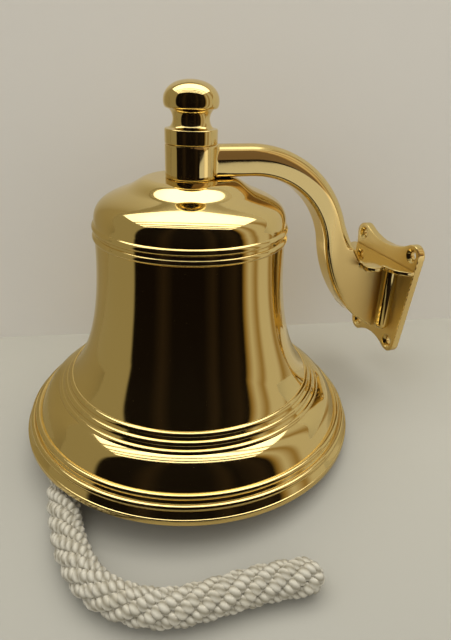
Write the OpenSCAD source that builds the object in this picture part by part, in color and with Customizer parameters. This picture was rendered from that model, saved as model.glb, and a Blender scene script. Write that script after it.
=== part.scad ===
// Ship's bell on a lift-off wall bracket, with its clapper and plaited rope.
// Millimetres. +Y points into the wall and +Z is up. The origin is the centre of
// the wall plate's back face. The rope lies on a table under the bell's mouth.

/* [Bell] */
// Diameter across the mouth
mouth_d = 203; // [192:1:214]
// Height from the rim to the flat of the crown
bell_h = 150; // [144:1:158]
// Diameter of the band below the shoulder
band_d = 106.6; // [104:0.2:110]
// Width of the band that carries the upper beads
band_w = 15; // [14:0.5:18]
// Drop from the flat of the crown to the top of the band
shoulder_drop = 23; // [21:0.5:26]
// Diameter of the flat on the crown
crown_flat_d = 45; // [40:1:50]
// Height of the top of the sound bow above the rim
bow_h = 34; // [31:0.5:37]
// Diameter at the top of the sound bow
bow_d = 147; // [143:1:151]
// Height of the plain lip at the rim
lip_h = 3.8; // [3:0.2:4.4]
// Width of the lip's flat underside
lip_w = 9; // [7:0.5:11]
// Wall thickness at the waist
waist_wall = 4.8; // [4:0.2:5.6]
// Wall thickness of the crown
crown_wall = 6; // [5:0.5:7.5]

/* [Beads] */
// Radius of a bead
bead_r = 2.1; // [1.8:0.1:2.3]
// Distance between the upper beads
upper_pitch = 5.2; // [4.8:0.1:5.4]
// Distance between the lower beads along the flare
lower_pitch = 4.5; // [4.2:0.1:4.8]
// Radius of the two beads next to the lip
lip_bead_r = 1.8; // [1.5:0.1:2]

/* [Bracket arm] */
// Distance from the wall to the bell's axis
bell_reach = 140; // [138:1:146]
// Height of the crown above the middle of the wall plate
crown_z = 80; // [76:1:84]
// Diameter of the collar that clamps the bell
collar_d = 28; // [26:0.5:32]
// Height of the collar
collar_h = 17.4; // [17:0.2:20]
// Thickness of the arm, side to side
arm_t = 16; // [14:0.5:17]
// Depth of the arm, top to bottom
arm_h = 16.8; // [15:0.2:17]
// Radius of the arm's rounded edges
arm_edge_r = 5.2; // [4:0.2:6]
// Distance from the bell's axis to where the arm starts to bend
arm_bend_from = 33; // [30:1:36]
// Radius of the bend at the middle of the arm
arm_bend_r = 61.2; // [58:0.2:63]
// Angle at which the arm's top edge leaves the bend
arm_leave_a = 20; // [17:1:24]
// Radius of the web's hollow upper edge
web_top_r = 110; // [100:1:125]
// Angle at which the arm's lower edge leaves the bend
web_low_a = 9; // [7:1:12]
// Radius of the web's lower edge
web_low_r = 83; // [78:1:88]
// Thickness of the shelf that stops the arm on its ribs
shelf_t = 3; // [2.4:0.2:4]
// Width of the shelf
shelf_w = 66; // [60:1:66]
// Depth of the shelf in front of the plate
shelf_d = 13; // [11:0.5:15]
// Width of the tongue's head behind the ribs
tongue_w = 25; // [23:0.5:26]
// Thickness of the tongue's head
tongue_t = 3.4; // [3:0.1:4]

/* [Wall plate] */
// Thickness of the plate
plate_t = 5; // [4:0.5:7]
// Distance between the two upper screw holes
upper_gap = 52; // [50:1:56]
// Distance between the two lower screw holes
lower_gap = 36; // [34:1:42]
// Distance between the upper and the lower screw holes
hole_rise = 64; // [62:1:68]
// Diameter of a screw hole
hole_d = 5; // [4:0.5:6]
// Diameter of a screw hole's countersink
sink_d = 9.6; // [8:0.2:11]
// Radius of the plate's ears
ear_r = 7; // [6.5:0.5:8]
// Height of the seat that the shelf rests on, above the middle of the plate
seat_z = 21; // [19:0.5:22]
// Height of the two ribs that hold the tongue
rib_h = 45; // [40:1:48]
// Radius of a rib's round face
rib_r = 5; // [4.6:0.1:5.4]
// Distance of a rib's centre in front of the plate
rib_proud = 3; // [2.6:0.1:3.4]

/* [Finial] */
// Height of the finial's base
base_h = 7.7; // [7:0.1:9]
// Diameter of the finial's neck
neck_d = 19.4; // [18.4:0.2:21]
// Height of the neck's narrowest place
neck_h = 12.4; // [12:0.1:13.4]
// Diameter of the finial's head
head_d = 29; // [27:0.5:31]
// Height of the head's lower edge
head_low = 17.2; // [16.6:0.2:18.4]
// Height of the whole finial
finial_h = 31; // [29:0.5:34]
// Depth of the threaded hole in the finial
finial_bore_h = 18; // [15:0.5:20]

/* [Bolt and clevis] */
// Diameter of the king bolt
bolt_d = 10; // [8:0.5:11]
// Diameter of the crown washer
washer_d = 30; // [26:0.5:34]
// Thickness of the crown washer
washer_t = 2.5; // [2:0.5:3.5]
// Width of the crown nut across its flats
nut_w = 17; // [16:0.5:19]
// Thickness of the crown nut
nut_t = 8; // [6:0.5:9]
// Diameter of the clevis
clevis_d = 20; // [18:0.5:23]
// Width of the clevis across its flats
clevis_w = 17; // [15:0.5:18]
// Height of the clevis
clevis_h = 24; // [22:0.5:27]
// Height of the pin above the clevis's lower end
clevis_pin_h = 8; // [7:0.5:9]
// Diameter of the clevis pin
pin_d = 6; // [5:0.5:7]
// Diameter of the split pin's wire
split_d = 1.8; // [1.4:0.1:2]

/* [Clapper] */
// Thickness of the clapper's eye
eye_t = 6; // [5:0.5:7]
// Radius of the clapper's eye
eye_r = 7.6; // [7:0.2:8]
// Diameter of the clapper's rod
rod_d = 9; // [8:0.5:10]
// Length from the pin to the middle of the ball
ball_drop = 92; // [86:1:94]
// Diameter of the clapper's ball
ball_d = 27; // [24:0.5:29]
// Length from the middle of the ball to the middle of the tail's eye
tail_drop = 18.5; // [18:0.5:20]
// Radius of the tail's eye
tail_r = 6; // [5:0.2:6.4]
// Thickness of the tail's eye
tail_t = 5; // [4:0.5:6]

/* [Rope] */
// Diameter of the plaited rope
rope_d = 17.6; // [16:0.2:18]
// Diameter of the loop of cord on the clapper
becket_d = 4; // [3:0.2:4.2]
// Diameter of the whipping where the loop meets the rope
whip_d = 11.6; // [11:0.2:13]

/* [Clearances] */
// Side clearance of the sliding tongue
slide_gap = 0.4; // [0.3:0.1:0.6]
// Radial clearance of a pin in its hole
pin_gap = 0.05; // [0.02:0.01:0.09]
// Radial clearance of the bolt in the collar and the finial
bolt_gap = 0.1; // [0.05:0.05:0.2]
// Side clearance between the eye and the clevis
eye_gap = 0.4; // [0.3:0.1:0.6]

/* [Hidden] */
$fn = 64;
cut = 1;

// Bell sizes that follow from the ones above
mouth_r = mouth_d / 2;
band_r = band_d / 2;
bow_r = bow_d / 2;
flat_r = crown_flat_d / 2;
rim_z = crown_z - bell_h;
band_top = bell_h - shoulder_drop;
band_low = band_top - band_w;
crown_in = bell_h - crown_wall;
bolt_hole_r = bolt_d / 2 + bolt_gap;

// Arm sizes in the arm's own plane: distance from the bell's axis, height
face_at = bell_reach - plate_t;
arm_z = crown_z + collar_h / 2;
bend_c = [arm_bend_from, arm_z - arm_bend_r];
bend_out_r = arm_bend_r + arm_h / 2;
bend_in_r = arm_bend_r - arm_h / 2;
web_top_c = bend_c + (bend_out_r + web_top_r) * [cos(arm_leave_a), sin(arm_leave_a)];
web_low_c = bend_c + (bend_in_r + web_low_r) * [cos(web_low_a), sin(web_low_a)];
web_foot_z = seat_z - rib_h;
saddle_z = seat_z - 3;
saddle_r = 7;
top_end_a = 180 + asin((web_top_c.y - saddle_z) / web_top_r);
saddle_x = web_top_c.x + web_top_r * cos(top_end_a);
fade_a = 214;
web_trim = (arm_edge_r + arm_h / 2) / 2;

// Bends of the arm end a hair apart, and a thin sleeve joins them
joint_a = 0.1;
joint_l = 1.2;
joint_proud = 0.02;

// Socket sizes on the wall plate
rib_x = arm_t / 2 + slide_gap + rib_r;
head_gap = 0.3;
head_front = head_gap + tongue_t;
head_foot_z = web_foot_z + 3.5;

// Clapper and clevis heights
crown_in_z = rim_z + crown_in;
nut_z = crown_in_z - washer_t - nut_t;
clevis_z = nut_z - clevis_h;
pivot_z = clevis_z + clevis_pin_h;
ball_z = pivot_z - ball_drop;
tail_z = ball_z - tail_drop;
rod_from_z = pivot_z - 14;
ball_boss_r = rod_d / 2 + 2.4;
ball_boss_h = ball_d / 2 + 1.6;

// The table leans under the bell, because the bell stands on its own rope
table_z0 = rim_z - 9.25;
table_slope = [-0.046, 0.078];
function on_table(p, lift) =
    [p.x, p.y, table_z0 + table_slope * [p.x, p.y + 140] + lift];

// Rope from the whipping inside the mouth, under the rim and round to its end
rope_route = [[5, -172], [7, -189], [11, -204], [18.5, -216], [30, -223], [44, -226],
              [59, -226.5], [75, -226], [90, -223.5], [104, -218.5], [115, -210],
              [123.5, -199], [129, -186], [131, -172], [132, -156], [133.5, -141],
              [136, -128], [138.5, -119]];
whip_route = [[3.5, -160], [4.95, -171.6]];
rope_points = [for (p = rope_route) on_table(p, rope_d / 2)];
whip_points = [for (p = whip_route) on_table(p, rope_d / 2)];

// Loop of cord from the whipping, through the tail's eye and back
loop_low = whip_points[0];
loop_eye_z = tail_z - 0.3;
becket_points = [
    loop_low + [-2.7, 0.4, 0],
    loop_low + [-6, 6.5, 2.6],
    [-9, -146.5, loop_eye_z - 3.4],
    [-8, -141, loop_eye_z - 0.8],
    [-3.4, -139.8, loop_eye_z],
    [3.4, -139.8, loop_eye_z],
    [8.6, -141, loop_eye_z - 0.8],
    [11, -146.5, loop_eye_z - 3.4],
    loop_low + [6.4, 6.1, 2.6],
    loop_low + [2.7, -0.3, 0]
];

// Shared curves and sweeps
function bezier(p, n, first = 0) = [
    for (k = [first : n])
        let (t = k / n, u = 1 - t)
        u * u * u * p[0] + 3 * u * u * t * p[1] + 3 * u * t * t * p[2] + t * t * t * p[3]
];
function arc(c, r, a0, a1, n) = [
    for (k = [0 : n])
        let (a = a0 + (a1 - a0) * k / n)
        c + r * [cos(a), sin(a)]
];
function unit(v) = v / norm(v);
function way(p, i) = unit(p[min(i + 1, len(p) - 1)] - p[max(i - 1, 0)]);
function ring(c, w, r, n) =
    let (side = unit(cross(w, [0, 0, 1])), up = cross(side, w))
    [for (k = [0 : n - 1]) c + r * (cos(360 * k / n) * side + sin(360 * k / n) * up)];

module sweep_tube(p, r, n) {
    rings = [for (i = [0 : len(p) - 1]) each ring(p[i], way(p, i), r, n)];
    last = (len(p) - 1) * n;
    walls = [
        for (i = [0 : len(p) - 2], k = [0 : n - 1])
            let (a = i * n + k, b = i * n + (k + 1) % n)
            each [[a, b, b + n], [a, b + n, a + n]]
    ];
    near_end = [for (k = [1 : n - 2]) [0, k + 1, k]];
    far_end = [for (k = [1 : n - 2]) [last, last + k, last + k + 1]];
    polyhedron(rings, concat(walls, near_end, far_end));
}

module rounded_rect(w, h, r) {
    square([w - 2 * r, h], center = true);
    square([w, h - 2 * r], center = true);
    for (x = [-1, 1], y = [-1, 1])
        translate([x * (w / 2 - r), y * (h / 2 - r)])
            circle(r, $fn = 24);
}

// Carries the bell's own parts from the rim's centre to their place
module on_bell(z = 0) {
    translate([0, -bell_reach, z])
        children();
}

// Turns a drawing of the arm's side into a slab of thickness t
module arm_slab(t) {
    translate([-t / 2, -bell_reach, 0])
        rotate([90, 0, 90])
            linear_extrude(t)
                children();
}

// Turns a section round a centre in the arm's plane
module arm_turn(c, from_a, to_a) {
    translate([0, c.x - bell_reach, c.y])
        rotate([90, 0, 90])
            rotate_extrude(angle = to_a - from_a, start = from_a, $fn = 96)
                children();
}

// Screw holes as [x, z]
screw_holes = [
    [-upper_gap / 2, hole_rise / 2],
    [upper_gap / 2, hole_rise / 2],
    [lower_gap / 2, -hole_rise / 2],
    [-lower_gap / 2, -hole_rise / 2]
];

// Radius of the hollow between two ears, which meets both ears smoothly
function dip_r(half, dip) = (half * half + dip * dip - ear_r * ear_r) / (2 * (ear_r - dip));

module plate_outline() {
    nick = 0.1;
    top_dip = 0.4;
    low_dip = 1.7;
    top_r = dip_r(upper_gap / 2, top_dip);
    low_r = dip_r(lower_gap / 2, low_dip);
    top_c = [0, hole_rise / 2 + top_dip + top_r];
    low_c = [0, -hole_rise / 2 - low_dip - low_r];
    top_way = unit(top_c - screw_holes[1]);
    low_way = unit(low_c - screw_holes[2]);
    side_way = unit([hole_rise, -(upper_gap - lower_gap) / 2]);
    half = [
        screw_holes[1] + ear_r * top_way,
        screw_holes[1] + ear_r * side_way,
        screw_holes[2] + ear_r * side_way,
        screw_holes[2] + ear_r * low_way
    ];
    other_half = [for (i = [3 : -1 : 0]) [-half[i].x, half[i].y]];
    for (h = screw_holes)
        translate(h)
            circle(ear_r);
    difference() {
        polygon(concat(half, other_half));
        translate(top_c)
            circle(top_r + nick, $fn = 180);
        translate(low_c)
            circle(low_r + nick, $fn = 180);
    }
}

// Base plate with ears, two ribs undercut for the tongue, and screw holes
module wall_plate() {
    color("goldenrod")
    difference() {
        union() {
            rotate([90, 0, 0])
                linear_extrude(plate_t)
                    plate_outline();
            for (x = [-rib_x, rib_x])
                translate([x, -plate_t - rib_proud, web_foot_z + rib_r]) {
                    cylinder(h = rib_h - rib_r, r = rib_r);
                    sphere(rib_r);
                }
        }
        translate([-tongue_w / 2 - slide_gap, -plate_t - head_front - head_gap, head_foot_z - slide_gap])
            cube([tongue_w + 2 * slide_gap, head_front + head_gap, rib_h]);
        for (h = screw_holes)
            translate([h.x, cut, h.y])
                rotate([90, 0, 0])
                    cylinder(h = plate_t + 2 * cut, d = hole_d);
        for (h = screw_holes)
            translate([h.x, -plate_t - 0.01, h.y])
                rotate([-90, 0, 0])
                    cylinder(h = (sink_d - hole_d) / 2 + 0.01, d1 = sink_d + 0.02, d2 = hole_d);
        translate([-rib_x - rib_r, 0, web_foot_z - cut])
            cube([2 * (rib_x + rib_r), rib_r, rib_h + 2 * cut]);
    }
}

// Full section of the arm, and the half of it that rounds one edge
module arm_section(at, extra = 0) {
    translate([at, 0])
        rounded_rect(arm_h + 2 * extra, arm_t + 2 * extra, arm_edge_r);
}
module edge_section(from_r, to_r, at) {
    intersection() {
        arm_section(at);
        translate([from_r, -arm_t / 2])
            square([to_r - from_r, arm_t]);
    }
}

// Sleeve over the place where two bends of the arm meet
module arm_joint(c, a) {
    translate([0, c.x - bell_reach, c.y])
        rotate([90, 0, 90])
            rotate(a)
                rotate([90, 0, 0])
                    linear_extrude(joint_l, center = true)
                        arm_section(arm_bend_r, joint_proud);
}

// Side view of the web: inside the round edges down to where they end, then full
saddle_c = [saddle_x, saddle_z + saddle_r];
saddle_end_a = asin((seat_z + shelf_t / 2 - saddle_c.y) / saddle_r);
foot_a = 180 - asin((web_foot_z - web_low_c.y) / web_low_r);
web_start_a = arm_leave_a + 3;
web_side = concat(
    [bend_c + (bend_out_r - web_trim) * [cos(web_start_a), sin(web_start_a)]],
    arc(bend_c, bend_in_r + web_trim, web_start_a, web_low_a + 1, 4),
    arc(web_low_c, web_low_r - web_trim, 181 + web_low_a, fade_a, 10),
    arc(web_low_c, web_low_r, fade_a, foot_a, 12),
    [[face_at - head_gap, web_foot_z], [face_at - head_gap, seat_z + shelf_t / 2]],
    arc(saddle_c, saddle_r, saddle_end_a, -90, 8),
    arc(web_top_c, web_top_r + web_trim, top_end_a, 180 + arm_leave_a + 1, 10)
);

// Collar, round-edged arm, web, shelf and tongue, all one casting
module bracket_arm() {
    start = collar_d / 2 - 4;
    color("goldenrod")
    difference() {
        union() {
            on_bell(crown_z)
                cylinder(h = collar_h, d = collar_d);
            on_bell(arm_z)
                translate([0, start, 0])
                    rotate([-90, 0, 0])
                        linear_extrude(arm_bend_from - start)
                            rounded_rect(arm_t, arm_h, arm_edge_r);
            arm_turn(bend_c, arm_leave_a + joint_a, 90)
                arm_section(arm_bend_r);
            arm_joint(bend_c, arm_leave_a);
            arm_turn(bend_c, web_low_a + joint_a, arm_leave_a - joint_a)
                edge_section(bend_in_r, arm_bend_r, arm_bend_r);
            arm_joint(bend_c, web_low_a);
            arm_turn(web_top_c, 180 + arm_leave_a + joint_a, top_end_a)
                edge_section(web_top_r, web_top_r + arm_h / 2, web_top_r + arm_h / 2);
            arm_turn(web_low_c, 180 + web_low_a + joint_a, fade_a)
                edge_section(web_low_r - arm_h / 2, web_low_r, web_low_r - arm_h / 2);
            arm_slab(arm_t)
                polygon(web_side);
            translate([-tongue_w / 2, -plate_t - head_front, head_foot_z])
                cube([tongue_w, tongue_t, seat_z - head_foot_z + shelf_t / 2]);
            shelf();
        }
        on_bell(crown_z - cut)
            cylinder(h = collar_h + 2 * cut, r = bolt_hole_r);
    }
}

// Shelf that comes down on the ribs, with round front corners
module shelf() {
    corner_r = 8;
    half = shelf_w / 2;
    front = shelf_d;
    translate([0, -plate_t, seat_z])
        mirror([0, 1, 0])
            linear_extrude(shelf_t)
                difference() {
                    union() {
                        square([shelf_w, 2 * (front - corner_r)], center = true);
                        square([shelf_w - 2 * corner_r, 2 * front], center = true);
                        for (x = [-1, 1])
                            translate([x * (half - corner_r), front - corner_r])
                                circle(corner_r);
                    }
                    translate([-half - cut, head_gap - 2 * front])
                        square([shelf_w + 2 * cut, 2 * front]);
                }
}

// Points of the bell's outside, from the lip to the crown
lip_round = 0.8;
outside = concat(
    arc([mouth_r - lip_round, lip_round], lip_round, -90, 0, 6),
    arc([mouth_r - lip_round, lip_h - lip_round], lip_round, 0, 90, 6),
    bezier([[mouth_r - 1.6, lip_h + 1], [mouth_r - 8, 13.6], [bow_r + 10, bow_h - 9],
            [bow_r, bow_h]], 10),
    bezier([[bow_r, bow_h], [bow_r - 13, bow_h + 13], [band_r + 0.5, bow_h + 41],
            [band_r, band_low]], 18, 1),
    bezier([[band_r, band_top], [band_r, band_top + 10], [band_r - 6.2, bell_h - 10.5],
            [flat_r + 13.5, bell_h - 6.2]], 12),
    bezier([[flat_r + 13.5, bell_h - 6.2], [flat_r + 8.5, bell_h - 4.3], [flat_r + 5, bell_h],
            [flat_r, bell_h]], 8, 1)
);

// Points of the bell's inside, from the bolt hole down to the lip
in_r = band_r - waist_wall;
inside = concat(
    [[bolt_hole_r, bell_h], [bolt_hole_r, crown_in]],
    bezier([[flat_r, crown_in], [in_r - 6, crown_in - 6.5], [in_r, band_top + 7],
            [in_r, band_low]], 12),
    bezier([[in_r, band_low], [in_r + 2.8, bow_h + 6], [mouth_r - lip_w - 13.5, 12.5],
            [mouth_r - lip_w, 0]], 22, 1)
);

// Middles of the beads as [radius, height]
flare_way = unit([1, -1]);
upper_beads = [for (k = [-1, 0, 1])
    [band_r - bead_r + 1.3, (band_low + band_top) / 2 + k * upper_pitch]];
lower_beads = [for (k = [0, 1, 2])
    [bow_r - 1, bow_h - 0.7] + k * lower_pitch * flare_way];
lip_beads = [[mouth_r - 3.9, lip_h + 4.6], [mouth_r - 7.2, lip_h + 8.6]];

// Turned brass bell with three groups of beads and a hole for the king bolt
module bell() {
    color("goldenrod")
    on_bell(rim_z)
        rotate_extrude($fn = 120)
            union() {
                polygon(concat(outside, inside));
                for (p = concat(upper_beads, lower_beads))
                    translate(p)
                        circle(bead_r, $fn = 32);
                for (p = lip_beads)
                    translate(p)
                        circle(lip_bead_r, $fn = 32);
            }
}

// Turned knob that screws down on the king bolt and clamps the collar
module finial() {
    head_r = head_d / 2;
    neck_r = neck_d / 2;
    base_r = collar_d / 2;
    edge = 0.8;
    widest = head_low + 3.6;
    cove_r = 4.7;
    turned = concat(
        [[0, 0]],
        arc([base_r - edge, edge], edge, -90, 0, 4),
        arc([base_r - edge, base_h - edge], edge, 0, 90, 4),
        bezier([[base_r - 1.4, base_h], [neck_r + 1.2, base_h + 0.2], [neck_r, neck_h - 2.4],
                [neck_r, neck_h]], 8),
        bezier([[neck_r, neck_h], [neck_r, neck_h + 2.6], [neck_r + 1.6, head_low - 0.4],
                [head_r - 2.2, head_low]], 8, 1),
        bezier([[head_r - 2.2, head_low], [head_r - 0.4, head_low], [head_r, widest - 1.6],
                [head_r, widest]], 6, 1),
        bezier([[head_r, widest], [head_r, widest + 6.2], [head_r - 6, finial_h], [0, finial_h]],
               14, 1)
    );
    color("goldenrod")
    on_bell(crown_z + collar_h)
        difference() {
            rotate_extrude($fn = 96)
                polygon(turned);
            translate([0, 0, -cut])
                cylinder(h = finial_bore_h + cut, r = bolt_hole_r);
        }
}

// Stud from the finial down through collar and crown, with the clapper's clevis
module king_bolt() {
    stud_top = crown_z + collar_h + finial_bore_h - 1;
    slot_w = eye_t + 2 * eye_gap;
    slot_h = clevis_pin_h + eye_r + 1;
    color("peru")
    difference() {
        union() {
            on_bell(nut_z - cut)
                cylinder(h = stud_top - nut_z + cut, d = bolt_d);
            intersection() {
                on_bell(clevis_z)
                    cylinder(h = clevis_h, d = clevis_d);
                translate([-clevis_w / 2, -bell_reach - clevis_d, clevis_z])
                    cube([clevis_w, 2 * clevis_d, clevis_h]);
            }
        }
        translate([-slot_w / 2, -bell_reach - clevis_d, clevis_z - cut])
            cube([slot_w, 2 * clevis_d, slot_h + cut]);
        on_bell(pivot_z)
            rotate([0, 90, 0])
                cylinder(h = clevis_w + 2 * cut, d = pin_d + 2 * pin_gap, center = true);
    }
}

// Plain washer inside the crown
module crown_washer() {
    color("peru")
    on_bell(crown_in_z - washer_t)
        difference() {
            cylinder(h = washer_t, d = washer_d);
            translate([0, 0, -cut])
                cylinder(h = washer_t + 2 * cut, r = bolt_hole_r + 0.2);
        }
}

// Hexagon nut that clamps the crown against the collar
module crown_nut() {
    color("peru")
    on_bell(nut_z)
        difference() {
            intersection() {
                cylinder(h = nut_t, d = nut_w / cos(30), $fn = 6);
                cylinder(h = nut_t, d1 = nut_w + nut_t * 1.6, d2 = nut_w + 1.2);
            }
            translate([0, 0, -cut])
                cylinder(h = nut_t + 2 * cut, r = bolt_hole_r);
        }
}

// Headed pin that the clapper swings on, drilled for the split pin
split_x = clevis_w / 2 + 2.4;
module clevis_pin() {
    head_t = 2;
    head_x = clevis_w / 2 + 0.2;
    end_x = split_x + 2.2;
    color("peru")
    on_bell(pivot_z)
        difference() {
            rotate([0, 90, 0]) {
                translate([0, 0, -head_x])
                    cylinder(h = head_x + end_x, d = pin_d);
                translate([0, 0, -head_x - head_t])
                    cylinder(h = head_t, d = pin_d + 3);
            }
            translate([split_x, 0, -pin_d])
                cylinder(h = 2 * pin_d, d = split_d + 0.2);
        }
}

// Split pin with its eye above and its tail below the clevis pin
module split_pin() {
    eye_at = pin_d / 2 + 2.6;
    color("silver")
    on_bell(pivot_z)
        translate([split_x, 0, 0]) {
            translate([0, 0, -pin_d / 2 - 4])
                cylinder(h = pin_d + 5.4, d = split_d);
            translate([0, 0, eye_at])
                rotate([0, 90, 0])
                    rotate_extrude()
                        translate([2, 0])
                            circle(d = split_d);
        }
}

// Forged clapper: eye on the pin, flat neck, round rod and a drilled tail
module clapper_rod() {
    color("goldenrod")
    on_bell()
        difference() {
            union() {
                translate([-eye_t / 2, 0, pivot_z])
                    rotate([0, 90, 0])
                        cylinder(h = eye_t, r = eye_r);
                translate([-eye_t / 2, -rod_d / 2, rod_from_z - 2])
                    cube([eye_t, rod_d, pivot_z - rod_from_z + 2]);
                translate([0, 0, tail_z + tail_r - 1])
                    cylinder(h = rod_from_z - tail_z - tail_r + 1, d = rod_d);
                translate([-tail_t / 2, 0, tail_z])
                    rotate([0, 90, 0])
                        cylinder(h = tail_t, r = tail_r);
            }
            translate([-eye_t, 0, pivot_z])
                rotate([0, 90, 0])
                    cylinder(h = 2 * eye_t, d = pin_d + 2 * pin_gap);
            translate([-tail_t, 0, tail_z])
                rotate([0, 90, 0])
                    cylinder(h = 2 * tail_t, d = becket_d + 2);
        }
}

// Ball with a short boss each way, fixed on the rod
module clapper_ball() {
    color("goldenrod")
    on_bell(ball_z)
        difference() {
            union() {
                sphere(d = ball_d);
                translate([0, 0, -ball_boss_h])
                    cylinder(h = 2 * ball_boss_h, r = ball_boss_r);
            }
            cylinder(h = 2 * ball_boss_h + 2 * cut, d = rod_d, center = true);
        }
}

// Loop of thin cord between the clapper's tail and the rope
module rope_becket() {
    color("ivory")
        sweep_tube(becket_points, becket_d / 2, 8);
}

// Whipping where the loop enters the rope
module rope_whipping() {
    color("wheat")
        sweep_tube(whip_points, whip_d / 2, 12);
}

// Plaited rope lying on the table
module rope() {
    color("ivory")
        sweep_tube(rope_points, rope_d / 2, 12);
}

wall_plate();
bracket_arm();
bell();
finial();
king_bolt();
crown_washer();
crown_nut();
clevis_pin();
split_pin();
clapper_rod();
clapper_ball();
rope_becket();
rope_whipping();
rope();
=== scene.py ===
import math
import bpy
from mathutils import Matrix, Vector


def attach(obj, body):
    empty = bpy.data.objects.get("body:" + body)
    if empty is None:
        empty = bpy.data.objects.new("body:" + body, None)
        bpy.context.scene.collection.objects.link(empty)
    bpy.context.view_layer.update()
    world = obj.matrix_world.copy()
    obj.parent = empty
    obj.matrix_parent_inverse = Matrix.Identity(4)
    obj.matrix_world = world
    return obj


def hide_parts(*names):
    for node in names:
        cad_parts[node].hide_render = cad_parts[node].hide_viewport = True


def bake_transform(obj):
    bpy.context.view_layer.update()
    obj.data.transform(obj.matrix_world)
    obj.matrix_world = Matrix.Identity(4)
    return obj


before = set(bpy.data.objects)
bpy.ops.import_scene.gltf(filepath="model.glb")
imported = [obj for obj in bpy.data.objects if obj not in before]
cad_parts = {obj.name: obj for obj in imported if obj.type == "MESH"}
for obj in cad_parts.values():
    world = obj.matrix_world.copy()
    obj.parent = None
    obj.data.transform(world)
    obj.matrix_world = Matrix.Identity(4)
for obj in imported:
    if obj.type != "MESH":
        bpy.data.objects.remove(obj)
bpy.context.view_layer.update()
bpy.ops.object.select_all(action="DESELECT")


# Camera: where the photograph was taken from, a little aside of the wall's
# square and above the bell, looking down by 26 degrees.
lens = bpy.data.cameras.new("photo_camera")
lens.lens = 29.25
lens.sensor_width = 36.0
lens.clip_start = 0.01
camera = bpy.data.objects.new("photo_camera", lens)
bpy.context.scene.collection.objects.link(camera)
cam_right = Vector((0.341367, 0.939377, 0.032236))
cam_up = Vector((-0.421565, 0.122362, 0.898504))
cam_back = Vector((0.840090, -0.320309, 0.437779))
cam_place = Vector((0.275536, -0.222141, 0.134313))
camera.matrix_world = Matrix((
    (cam_right.x, cam_up.x, cam_back.x, cam_place.x),
    (cam_right.y, cam_up.y, cam_back.y, cam_place.y),
    (cam_right.z, cam_up.z, cam_back.z, cam_place.z),
    (0, 0, 0, 1)))
bpy.context.scene.camera = camera


# Rope: a round plait of cotton yarns that hangs from the clapper, passes under
# the rim and lies on the table. Its free end is crowned, so it can't unlay.
bell_axis = Vector((0.0, -0.140, 0.0))
rim_z = -0.070
rope_d = 0.0176
rope_route = [(5, -172), (7, -189), (11, -204), (18.5, -216), (30, -223), (44, -226),
              (59, -226.5), (75, -226), (90, -223.5), (104, -218.5), (115, -210),
              (123.5, -199), (129, -186), (131, -172), (132, -156), (133.5, -141),
              (136, -128), (138.5, -119)]


def table_height(x, y):
    return rim_z - 0.00925 - 0.046 * x + 0.078 * (y + 0.140)


def on_table(route, lift):
    spots = [(x / 1000, y / 1000) for x, y in route]
    return [Vector((x, y, table_height(x, y) + lift)) for x, y in spots]


def smooth_way(points, step):
    """Points every `step` along a smooth curve through the given ones."""
    ends = [2 * points[0] - points[1]] + points + [2 * points[-1] - points[-2]]
    fine = []
    for a, b, c, d in zip(ends, ends[1:], ends[2:], ends[3:]):
        for k in range(24):
            t = k / 24
            fine.append(0.5 * (2 * b + (c - a) * t + (2 * a - 5 * b + 4 * c - d) * t * t
                               + (3 * b - a - 3 * c + d) * t ** 3))
    fine.append(points[-1])
    along = [0.0]
    for a, b in zip(fine, fine[1:]):
        along.append(along[-1] + (b - a).length)
    count = max(2, round(along[-1] / step))
    even = []
    k = 0
    for i in range(count + 1):
        want = along[-1] * i / count
        while k < len(along) - 2 and along[k + 1] < want:
            k += 1
        share = (want - along[k]) / (along[k + 1] - along[k])
        even.append(fine[k].lerp(fine[k + 1], min(max(share, 0), 1)))
    return even


def frames_along(way):
    """Side and upward directions that turn with the way and don't twist."""
    frames = []
    side = None
    for i, spot in enumerate(way):
        ahead = (way[min(i + 1, len(way) - 1)] - way[max(i - 1, 0)]).normalized()
        if side is None:
            side = ahead.cross(Vector((0, 0, 1))).normalized()
        side = (side - ahead * side.dot(ahead)).normalized()
        frames.append((spot, side, ahead.cross(side)))
    return frames


def turned(side, up, a):
    """The direction that lies at angle a from side, toward up."""
    return math.cos(a) * side + math.sin(a) * up


def yarn_mesh(name, yarns, sides):
    """One mesh of round closed yarns; each is a list of (point, radius)."""
    verts, faces, corners = [], [], []
    for yarn in yarns:
        first = len(verts)
        run = frames_along([spot for spot, r in yarn])
        length = 0.0
        rows = []
        for i, ((spot, side, up), (_, r)) in enumerate(zip(run, yarn)):
            if i:
                length += (spot - yarn[i - 1][0]).length
            rows.append(length)
            for k in range(sides):
                verts.append(spot + r * turned(side, up, 2 * math.pi * k / sides))
        for i in range(len(yarn) - 1):
            for k in range(sides):
                a = first + i * sides + k
                b = first + i * sides + (k + 1) % sides
                faces.append((a, b, b + sides, a + sides))
                u0, u1 = k / sides, (k + 1) / sides
                corners += [(u0, rows[i]), (u1, rows[i]), (u1, rows[i + 1]), (u0, rows[i + 1])]
        last = first + (len(yarn) - 1) * sides
        faces.append(tuple(first + k for k in reversed(range(sides))))
        corners += [(k / sides, 0.0) for k in range(sides)]
        faces.append(tuple(last + k for k in range(sides)))
        corners += [(k / sides, rows[-1]) for k in range(sides)]
    mesh = bpy.data.meshes.new(name)
    mesh.from_pydata([tuple(v) for v in verts], [], faces)
    layer = mesh.uv_layers.new(name="yarn")
    for loop, corner in zip(layer.data, corners):
        loop.uv = corner
    for face in mesh.polygons:
        face.use_smooth = True
    piece = bpy.data.objects.new(name, mesh)
    bpy.context.scene.collection.objects.link(piece)
    return piece


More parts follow.
